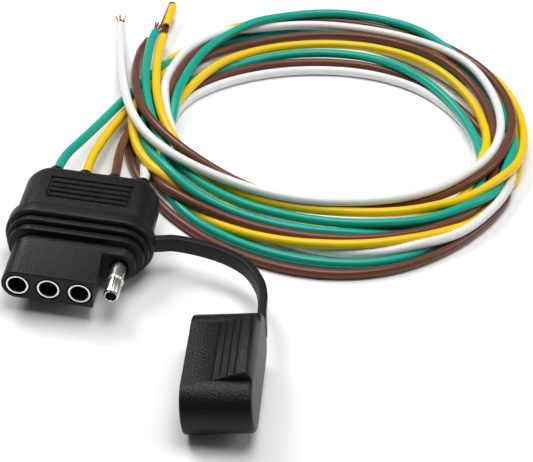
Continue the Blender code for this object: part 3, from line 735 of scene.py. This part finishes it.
class CONNECTOR_OT_stage(bpy.types.Operator):
    """Floor, soft studio lights and the camera"""
    bl_idname = "connector.stage"
    bl_label = "Stage"

    def execute(self, context):
        scene = context.scene
        bm = bmesh.new()
        bmesh.ops.create_grid(bm, x_segments=1, y_segments=1, size=2.0)
        paint = Finish("table_top")
        shade = tuple(scene.connector_colours.floor)
        paint.set(Base_Color=paint.mix(paint.noise(3.0), shade, tuple(c * 0.99 for c in shade)),
                  Roughness=0.75)
        floor = to_object("table_top", bm, paint.made)
        floor.location.z = -0.00002
        world = bpy.data.worlds.new("studio")
        scene.world = world
        world.use_nodes = True
        world.node_tree.nodes["Background"].inputs[0].default_value = (1.0, 1.0, 1.0, 1.0)
        world.node_tree.nodes["Background"].inputs[1].default_value = 0.10
        for name, spot, aim, size, power in (
                ("key_softbox", (-0.42, 0.40, 0.66), (0.04, 0.03, 0.0), 0.34, 4.0),
                ("top_softbox", (0.08, 0.08, 0.90), (0.05, 0.03, 0.0), 0.60, 6.3),
                ("side_softbox", (0.75, 0.25, 0.45), (0.04, 0.0, 0.0), 0.40, 1.6)):
            light = bpy.data.lights.new(name, "AREA")
            light.size = size
            light.energy = power
            lamp = link_new(name, light)
            lamp.location = spot
            lamp.rotation_mode = "QUATERNION"
            lamp.rotation_quaternion = (Vector(aim) - Vector(spot)).to_track_quat("-Z", "Y")
        scene.view_settings.view_transform = "Standard"
        tip, swing, lean = math.radians(37.9), math.radians(-2.35), math.radians(6.5)
        ahead = Vector((math.sin(swing) * math.cos(tip), math.cos(swing) * math.cos(tip),
                        -math.sin(tip)))
        right = Vector((math.cos(swing), -math.sin(swing), 0.0))
        up = right.cross(ahead)
        side = right * math.cos(lean) + up * math.sin(lean)
        top = up * math.cos(lean) - right * math.sin(lean)
        lens = bpy.data.cameras.new("camera")
        lens.sensor_width = 36.0
        lens.lens = 119.15
        lens.clip_start, lens.clip_end = 0.01, 20.0
        camera = link_new("camera", lens)
        aim, distance = Vector((0.04455, 0.02328, 0.0)), 0.4585
        camera.matrix_world = (Matrix.Translation(aim - ahead * distance)
                               @ Matrix((side, top, -ahead)).transposed().to_4x4())
        scene.camera = camera
        return {"FINISHED"}


STRANDS_INSIDE = 0.6 * MM       # how far the strands reach back into the insulation
SLUG_BORE = 0.78 * MM


def slug_sleeve(name, start, end, vinyl):
    """Loose length of insulation round the strands, with chamfered ends."""
    length = (end - start).length
    rim = [(0.0, WIRE_R - 0.0002), (0.00008, WIRE_R - 0.00006), (0.00024, WIRE_R)]
    profile = ([(0.0, SLUG_BORE)] + rim + [(length - d, r) for d, r in reversed(rim)]
               + [(length, SLUG_BORE)])
    place = along(start, end)
    rows = [[place @ Vector((r * math.cos(math.pi * k / 12), r * math.sin(math.pi * k / 12), d))
             for k in range(24)] for d, r in profile]
    return lofted(name, rows, vinyl, closed=True)


class CONNECTOR_OT_wires(bpy.types.Operator):
    """Four coiled wires with their stripped ends"""
    bl_idname = "connector.wires"
    bl_label = "Wires"

    def execute(self, context):
        sizes, colours = chosen(context)
        laid = lay_wires(sizes.wire_gap / MM)
        copper = bare_copper("copper_strand")
        tree = bundle_tree()
        ends = {
            "green": dict(shares=(0.9, 1.0, 0.8, 0.7), spread=0.10, seed=3),
            "yellow": dict(shares=(1.0, 0.99, 0.985, 0.99, 0.98), spread=0.0, seed=5),
            "brown": dict(shares=(1.0, 0.99, 0.985, 0.99, 0.98), spread=0.0, seed=7),
            "white": dict(shares=(0.8, 1.0, 0.9, 0.95, 0.85, 0.92), spread=0.34, seed=11),
        }
        tips = {"green": (2.1, 109.4, 5.4), "white": (-9.8, 113.9, 2.0)}
        slugs = {"yellow": ((4.4, 109.4, 4.2), (4.8, 120.6, 4.6)),
                 "brown": ((3.2, 113.8, 1.4), (3.8, 126.8, 1.4))}
        for colour, x in zip(COLOURS, TERMINAL_X):
            shade = tuple(getattr(colours, colour))
            vinyl = wire_vinyl("vinyl_" + colour, shade, tuple(c * 0.84 for c in shade))
            pts = laid[colour]
            data = bpy.data.curves.new("wire_" + colour, "CURVE")
            data.dimensions = "3D"
            data.bevel_depth = WIRE_R + WIRE_SKIN
            data.bevel_resolution = 5
            data.use_fill_caps = True
            line = data.splines.new("POLY")
            line.points.add(len(pts) - 1)
            line.points.foreach_set("co", np.c_[pts, np.ones(len(pts))].ravel())
            line.use_smooth = True
            wire = link_new("wire_" + colour, data)
            data.materials.append(vinyl)
            cut = Vector(pts[-1])
            route = [cut - (cut - Vector(pts[-2])).normalized() * STRANDS_INSIDE]
            if colour in slugs:
                start, end = (Vector(p) * MM for p in slugs[colour])
                route += [start, start.lerp(end, 0.97)]
            else:
                route.append(Vector(tips[colour]) * MM)
            strands = run_tree(
                strand_lines("copper_" + colour, route, **ends[colour]), tree,
                {"Strand radius": sizes.strand_radius, "Finish": copper})
            stand_for(strands, "plug", "strands_" + colour)
            if colour in slugs:
                slug = slug_sleeve("slug_sleeve_" + colour, start, end, vinyl)
                stand_for(slug, "plug", "slug_" + colour)
            stand_for(wire, "plug", "lead_" + colour, "tail_" + colour, "wire_coil")
        return {"FINISHED"}


def row_of(obj, count, step, material):
    run_tree(obj, row_tree(), {"Count": count, "Step": step, "Finish": material})


def groove_cutter(name, low, high, axis, depth, top):
    """Bar with a flared top that cuts a groove with chamfered lips, along x or y."""
    over, chamfer, half = 0.0008, 0.00018, GROOVE_W / 2
    section = [(-half, -depth), (half, -depth), (half, -chamfer), (half + chamfer + over, over),
               (-half - chamfer - over, over), (-half, -chamfer)]
    if axis == "x":
        rings = [[(x, y + u, top + v) for u, v in section] for x, y in (low, high)]
    else:
        rings = [[(x + u, y, top + v) for u, v in section] for x, y in (low, high)]
    return lofted(name, rings)


class CONNECTOR_OT_terminal_block(bpy.types.Operator):
    """Nose, socket bores and flange of the plug"""
    bl_idname = "connector.terminal_block"
    bl_label = "Terminal block"

    def execute(self, context):
        sizes, colours = chosen(context)
        paint = moulded_black("nose_moulding", colours.black[0], sizes.grain, 0.00009, 0.32)
        block = lofted("nose_block", eased(NOSE_FRONT_Y, HALF, NOSE_R, sizes.nose_edge, 1)
                       + [oval(FLANGE_FRONT_Y, HALF, NOSE_R)]
                       + eased(FLANGE_FRONT_Y, FLANGE_HALF, FLANGE_R, sizes.rim_edge, 1)
                       + eased(FLANGE_REAR_Y, FLANGE_HALF, FLANGE_R, 0.0002, -1)
                       + [oval(FLANGE_REAR_Y, COLLAR_HALF, BLOCK_TAIL_R),
                          oval(BLOCK_TAIL_Y, COLLAR_HALF, BLOCK_TAIL_R)], paint)
        wall = TERMINAL_X[2] + SOCKET_R + CLEAR + 0.35 * MM
        combine(block, box("pin_side_cut",
                           (wall, NOSE_FRONT_Y - 0.002, AXIS_Z - NOSE_R - 0.002),
                           (HALF + NOSE_R + 0.003, STUB_Y, AXIS_Z + NOSE_R + 0.002)),
                "DIFFERENCE")
        round_edges(block, 0.00018)
        lip = 0.00012
        rear = NOSE_FRONT_Y + SOCKET_LEN + CLEAR
        past = BLOCK_TAIL_Y + 0.001
        shank = [(past, SHANK_R + CLEAR), (past, 0.0)]
        bm = bmesh.new()
        for x in TERMINAL_X[:3]:
            turn_profile(bm, [(NOSE_FRONT_Y - lip, 0.0),
                              (NOSE_FRONT_Y - lip, SOCKET_R + CLEAR + 2 * lip),
                              (NOSE_FRONT_Y + lip, SOCKET_R + CLEAR),
                              (rear, SOCKET_R + CLEAR), (rear, SHANK_R + CLEAR)] + shank, x, 56)
        turn_profile(bm, [(STUB_Y - 0.001, 0.0), (STUB_Y - 0.001, PIN_R + 2 * CLEAR + 0.001),
                          (STUB_Y + 0.0001, PIN_R + 2 * CLEAR),
                          (STUB_Y + 0.0004, PIN_R + 2 * CLEAR),
                          (STUB_Y + 0.0004, PIN_R + CLEAR),
                          (PIN_SHOULDER_Y + CLEAR, PIN_R + CLEAR),
                          (PIN_SHOULDER_Y + CLEAR, SHANK_R + CLEAR)] + shank, TERMINAL_X[3], 56)
        combine(block, to_object("terminal_bores", bm), "DIFFERENCE")
        stand_for(block, "plug", "terminal_block")
        return {"FINISHED"}


class CONNECTOR_OT_grip(bpy.types.Operator):
    """Grip overmould with its grooved panel and wire bosses"""
    bl_idname = "connector.grip"
    bl_label = "Grip"

    def execute(self, context):
        sizes, colours = chosen(context)
        paint = moulded_black("grip_moulding", colours.black[0], sizes.grain, 0.00013, 0.33)
        rings = (eased(LIP_FRONT_Y, LIP_HALF, LIP_R, sizes.rim_edge, 1)
                 + eased(-NECK_Y, LIP_HALF, LIP_R, sizes.rim_edge, -1)
                 + [oval(-NECK_Y, COLLAR_HALF, NECK_R), oval(NECK_Y, COLLAR_HALF, NECK_R)])
        for _, forward, back in quarter(5):
            rings.append(y_ring(NECK_Y + 0.0009 * forward, GRIP_HALF_W - 0.0009 * back,
                                GRIP_HALF_H - 0.0007 * back, GRIP_SIDE_R - 0.0003 * back))
        for turn, narrower, before_end in quarter(14):
            sunk = max(0.0, math.sin(turn) - 0.62) / 0.38
            rings.append(y_ring(GRIP_REAR_Y - GRIP_CORNER_R * before_end,
                                GRIP_HALF_W - GRIP_CORNER_R * narrower,
                                GRIP_HALF_H - 0.0017 * (1 - math.sqrt(1 - sunk ** 2)),
                                GRIP_SIDE_R - 0.0006 * sunk))
        grip = lofted("grip", rings, paint)
        start = GRIP_REAR_Y - 0.006
        bosses = turned("wire_bosses", [
            (start, 0.0), (start, BOSS_R), (GRIP_REAR_Y - 0.0001, BOSS_R),
            (BOSS_END_Y - 0.0008, BOSS_R - 0.00008), (BOSS_END_Y - 0.0003, BOSS_R - 0.00016),
            (BOSS_END_Y - 0.0001, BOSS_R - 0.0003), (BOSS_END_Y, BOSS_R - 0.0005),
            (BOSS_END_Y, BORE_R + 0.00003), (BOSS_END_Y - 0.00008, BORE_R),
            (GRIP_REAR_Y - 0.004, BORE_R), (GRIP_REAR_Y - 0.004, 0.0)], TERMINAL_X[0], 40, paint)
        row_of(bosses, 4, (PITCH, 0.0, 0.0), paint)
        bores = turned("wire_bores", [(start + 0.001, 0.0), (start + 0.001, BORE_R),
                                      (GRIP_REAR_Y + 0.002, BORE_R), (GRIP_REAR_Y + 0.002, 0.0)],
                       TERMINAL_X[0], 40)
        row_of(bores, 4, (PITCH, 0.0, 0.0), paint)
        combine(grip, bores, "DIFFERENCE")
        combine(grip, bosses, "UNION")
        top = AXIS_Z + GRIP_HALF_H
        bars = groove_cutter("panel_grooves", (-GROOVE_HALF_LEN, GROOVE_FIRST_Y),
                             (GROOVE_HALF_LEN, GROOVE_FIRST_Y), "x", GROOVE_DEPTH, top)
        row_of(bars, GROOVE_COUNT, (0.0, GROOVE_STEP, 0.0), paint)
        combine(grip, bars, "DIFFERENCE")
        last = GROOVE_FIRST_Y + (GROOVE_COUNT - 1) * GROOVE_STEP
        ends = groove_cutter("panel_ends",
                             (-GROOVE_HALF_LEN, GROOVE_FIRST_Y - GROOVE_W / 2 - 0.0001),
                             (-GROOVE_HALF_LEN, last + GROOVE_W / 2 + 0.0001), "y",
                             GROOVE_DEPTH - 0.0001, top)
        row_of(ends, 2, (2 * GROOVE_HALF_LEN, 0.0, 0.0), paint)
        combine(grip, ends, "DIFFERENCE")
        stand_for(grip, "plug", "grip_overmould")
        return {"FINISHED"}


class CONNECTOR_OT_terminals(bpy.types.Operator):
    """Three plated sockets, the plated pin and the crimped cores"""
    bl_idname = "connector.terminals"
    bl_label = "Terminals"

    def execute(self, context):
        plate = plated_metal("nickel_plate")
        # Painted shade: a near-black material, mottled with noise, goes on the faces deep in the socket
        # bores and in the pin's hollow tip and seam, in place of the shade in these recesses.
        painted_hollow_shade = Finish("socket_lining")
        dull = painted_hollow_shade.noise(500.0, 3.0)
        painted_hollow_shade.set(Base_Color=painted_hollow_shade.mix(dull, (0.012, 0.012, 0.013), (0.03, 0.028, 0.026)),
                 Roughness=0.55)
        crimp = [(CRIMP_FRONT_Y, SHANK_R), (CRIMP_FRONT_Y, CRIMP_R), (CRIMP_END_Y, CRIMP_R),
                 (CRIMP_END_Y, 0.0)]
        bore = SOCKET_R - SOCKET_WALL
        shade_from_y = NOSE_FRONT_Y + 0.0006
        sleeve = [(NOSE_FRONT_Y + depth, radius) for depth, radius in (
            (SOCKET_DEPTH, 0.0), (SOCKET_DEPTH, bore), (0.0006, bore), (0.00022, bore),
            (0.00006, bore + 0.00006), (0.0, bore + 0.00018), (0.0, SOCKET_R - 0.00016),
            (0.00005, SOCKET_R - 0.00005), (0.00018, SOCKET_R), (SOCKET_LEN, SOCKET_R),
            (SOCKET_LEN, SHANK_R))]
        for colour, x in zip(COLOURS[:3], TERMINAL_X):
            name = "socket_" + colour
            socket = turned("contact_" + name, sleeve + crimp, x, 64, plate)
            socket.data.materials.append(painted_hollow_shade.made)
            for face in socket.data.polygons:
                far = math.hypot(face.center.x - x, face.center.z - AXIS_Z)
                inside = far < bore + 0.0001 and face.center.y > shade_from_y
                face.material_index = int(inside and face.center.y < 0.0)
            stand_for(socket, "plug", name)
        x = TERMINAL_X[3]
        tip = [(PIN_TIP_Y + depth, PIN_R - inset) for depth, inset in (
            (0.0024, 0.0006), (0.0001, 0.0006), (0.0, 0.00055), (0.0, 0.00042),
            (0.00012, 0.00025), (0.0005, 0.00008))]
        ring = [(y, PIN_R + rise) for y, rise in (
            (-0.0157, -0.00008), (-0.0156, -0.00022), (-0.0153, -0.00022), (-0.0152, 0.0001),
            (-0.0151, 0.00016), (-0.0147, 0.00016), (-0.0146, 0.00008), (-0.0145, -0.0001),
            (-0.0120, -0.0001), (PIN_SHOULDER_Y, 0.0))]
        pin = turned("contact_pin", [(PIN_TIP_Y + 0.0024, 0.0)] + tip + ring
                     + [(PIN_SHOULDER_Y, SHANK_R)] + crimp, x, 64, plate)
        combine(pin, box("pin_seam", (x - 0.00012, PIN_TIP_Y - 0.001, AXIS_Z + PIN_R - 0.0009),
                         (x + 0.00012, -0.0150, AXIS_Z + PIN_R + 0.001)), "DIFFERENCE")
        # Painted shade on the faces inside the pin's hollow tip and at the bottom of its seam.
        pin.data.materials.append(painted_hollow_shade.made)
        for face in pin.data.polygons:
            deep = math.hypot(face.center.x - x, face.center.z - AXIS_Z) < PIN_R - 0.00058
            face.material_index = int(deep and PIN_TIP_Y + 0.0001 < face.center.y < 0.0)
        stand_for(pin, "plug", "pin_white")
        copper = bare_copper("crimped_copper")
        for colour in COLOURS:
            core = frame["nodes"]["core_" + colour]
            core.data.materials.clear()
            core.data.materials.append(copper)
        return {"FINISHED"}


STRAP_STEP = 0.42               # millimetres between the rings of the strap
TURN_FROM_Y, TURN_OVER = -12.5 * MM, 10.5 * MM      # where the strap leans over to the cap
HALF_BLEND = 2.6 * MM           # a distance on each side of a hinge; the two points it gives are not used


def strap_frames():
    """Points, directions and edge directions along the strap, from the collar to the cap."""
    flat = [(16.8, 1.0), (20.0, 2.0), (23.5, 2.8), (30.5, 2.1), (37.0, 0.1), (42.3, -3.5),
            (45.8, -9.2), (47.15, -14.5), (47.4, -17.65)]
    end = CAP_PLACE @ Vector((-0.9 * MM, CAP_HALF + CAP_R - 1.6 * MM, -1.2 * MM))
    route = [(x, y, AXIS_Z / MM) for x, y in flat]
    mid = Vector(route[-1]).lerp(end / MM, 0.5)
    route += [tuple(mid), tuple(end / MM)]
    pts = evenly(curve_through(route), STRAP_STEP) * MM
    ahead = np.gradient(pts, axis=0)
    ahead /= np.linalg.norm(ahead, axis=1)[:, None]
    cap_up = CAP_PLACE.to_3x3() @ Vector((0.0, 0.0, 1.0))
    ups = []
    for p, t in zip(pts, ahead):
        share = min(1.0, max(0.0, (TURN_FROM_Y - p[1]) / TURN_OVER))
        share = share * share * (3 - 2 * share)
        up = Vector((0.0, 0.0, 1.0)).lerp(cap_up, share)
        t = Vector(t)
        ups.append((up - t * up.dot(t)).normalized())
    return [Vector(p) for p in pts], [Vector(t) for t in ahead], ups


class CONNECTOR_OT_strap(bpy.types.Operator):
    """Tether collar ring and the strap that runs to the cap"""
    bl_idname = "connector.strap"
    bl_label = "Collar and strap"

    def execute(self, context):
        sizes, colours = chosen(context)
        rubber = moulded_black("tether_rubber", colours.rubber[0], sizes.grain * 0.7, 0.000025,
                               0.36, (1.0, 1.0, 1.12))
        half = COLLAR_THICK / 2
        rings = (eased(-half, COLLAR_HALF, COLLAR_R, 0.0007, 1)
                 + eased(half, COLLAR_HALF, COLLAR_R, 0.0007, -1)
                 + [oval(half, COLLAR_HALF, COLLAR_INNER_R),
                    oval(-half, COLLAR_HALF, COLLAR_INNER_R)])
        stand_for(lofted("collar_ring", rings, rubber, closed=True), "plug", "tether_collar")
        pts, ahead, ups = strap_frames()
        cuts = [0]
        for one, two in zip(HINGES, HINGES[1:]):
            middle = (one + two) / 2
            cuts.append(min(range(len(pts)), key=lambda k: (pts[k] - middle).length))
        cuts.append(len(pts) - 1)
        section = outline(STRAP_T / 2, STRAP_W / 2, 0.42 * MM, 4)
        for k, (low, high) in enumerate(zip(cuts, cuts[1:])):
            rings = []
            for at in range(low, high + 1):
                side = ups[at].cross(ahead[at]).normalized()
                rings.append([pts[at] + side * u + ups[at] * v for u, v in section])
            piece = lofted("strap_%d" % (k + 1), rings, rubber)
            node = "strap_link_%d" % min(k + 1, 5)
            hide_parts(node)
            near = min(range(len(pts)), key=lambda i: (pts[i] - HINGES[k]).length)
            way = ahead[near] * HALF_BLEND
            HINGES[k] - way
            HINGES[k] + way
            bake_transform(piece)
        return {"FINISHED"}


class CONNECTOR_OT_cap(bpy.types.Operator):
    """Dust cap with its ridged thumb wedge"""
    bl_idname = "connector.cap"
    bl_label = "Dust cap"

    def execute(self, context):
        sizes, colours = chosen(context)
        paint = moulded_black("cap_moulding", colours.black[0], sizes.grain, 0.00012, 0.30)

        def ring(depth, half, radius, inset=0.0):
            return [CAP_PLACE @ Vector((-depth, u, w)) for u, w in
                    outline(half + radius - inset, radius - inset, radius - inset, SEG + 4)]

        rings = []
        for _, forward, inset in quarter(6):
            rings.append(ring(0.001 * forward, CAP_HALF, CAP_R, 0.001 * inset))
        for _, inset, before_end in quarter(4):
            rings.append(ring(CAP_DEPTH - 0.0004 * before_end, CAP_HALF, CAP_R, 0.0004 * inset))
        rings += [ring(CAP_DEPTH, HALF, CAP_INNER_R, -0.0003),
                  ring(CAP_DEPTH - 0.0003, HALF, CAP_INNER_R),
                  ring(CAP_END_WALL, HALF, CAP_INNER_R)]
        cap = lofted("cap_shell", rings, paint)
        crest, high = -1.9 * MM, CAP_R + WEDGE_RISE
        top = [(-WEDGE_START, CAP_R - 0.0012), (-WEDGE_START, CAP_R), (crest, high)]
        top += [(u * MM, CAP_R + w * MM) for u, w in
                ((-1.45, 2.28), (-1.05, 2.0), (-0.6, 1.1), (-0.3, 0.2), (-0.12, -0.5),
                 (-0.12, -1.2))]
        def bar(name, section, reach, material=None):
            return lofted(name, [[CAP_PLACE @ Vector((u, side * reach, w)) for u, w in section]
                                 for side in (-1, 1)], material)

        wedge = bar("thumb_wedge", top, WEDGE_HALF_LEN, paint)
        round_edges(wedge, 0.00022)
        combine(cap, wedge, "UNION")
        for k in range(4):
            at = -WEDGE_START + (0.05 + 1.75 * k) * MM
            level = CAP_R + WEDGE_RISE * (at + WEDGE_START) / (crest + WEDGE_START)
            section = [(at - 0.00010, level - 0.00038), (at + 0.00010, level - 0.00038),
                       (at + 0.00013, level - 0.0001), (at + 0.0011, level + 0.0011),
                       (at - 0.0011, level + 0.0005), (at - 0.00013, level - 0.0001)]
            reach = WEDGE_HALF_LEN + (0.0004 if k else 0.0)
            combine(cap, bar("wedge_groove", section, reach), "DIFFERENCE")
        # Painted light: the closed end gets the same black moulding painted thirteen times lighter, a
        # lit copy of it, with almost no grain and a rougher finish.
        smooth = moulded_black("cap_end_plate", 13 * colours.black[0], sizes.grain, 0.00001, 0.40)
        cap.data.materials.append(smooth)
        outward = CAP_PLACE.to_3x3() @ Vector((1.0, 0.0, 0.0))
        for face in cap.data.polygons:
            face.material_index = int(face.normal.dot(outward) > 0.97
                                      and (CAP_PLACE.inverted() @ face.center).x > -0.0001)
        stand_for(cap, "cap", "dust_cap")
        return {"FINISHED"}


class CONNECTOR_PT_panel(bpy.types.Panel):
    """Sizes, colours and the steps that build the connector"""
    bl_idname = "CONNECTOR_PT_panel"
    bl_label = "Trailer Wiring Connector"
    bl_space_type = "VIEW_3D"
    bl_region_type = "UI"
    bl_category = "Connector"

    def draw(self, context):
        for group in (context.scene.connector_sizes, context.scene.connector_colours):
            column = self.layout.column()
            for name in group.bl_rna.properties.keys():
                if name not in ("rna_type", "name"):
                    column.prop(group, name)
        for step in STEPS:
            self.layout.operator(step.bl_idname)


STEPS = (CONNECTOR_OT_stage, CONNECTOR_OT_wires, CONNECTOR_OT_terminal_block,
         CONNECTOR_OT_grip, CONNECTOR_OT_terminals, CONNECTOR_OT_strap, CONNECTOR_OT_cap)


def register():
    for kind in (ConnectorSizes, ConnectorColours) + STEPS + (CONNECTOR_PT_panel,):
        bpy.utils.register_class(kind)
    bpy.types.Scene.connector_sizes = bpy.props.PointerProperty(type=ConnectorSizes)
    bpy.types.Scene.connector_colours = bpy.props.PointerProperty(type=ConnectorColours)


def unregister():
    del bpy.types.Scene.connector_colours
    del bpy.types.Scene.connector_sizes
    for kind in reversed((ConnectorSizes, ConnectorColours) + STEPS + (CONNECTOR_PT_panel,)):
        bpy.utils.unregister_class(kind)


def main():
    register()
    for step in STEPS:
        group, name = step.bl_idname.split(".")
        getattr(getattr(bpy.ops, group), name)()


if __name__ == "__main__":
    main()
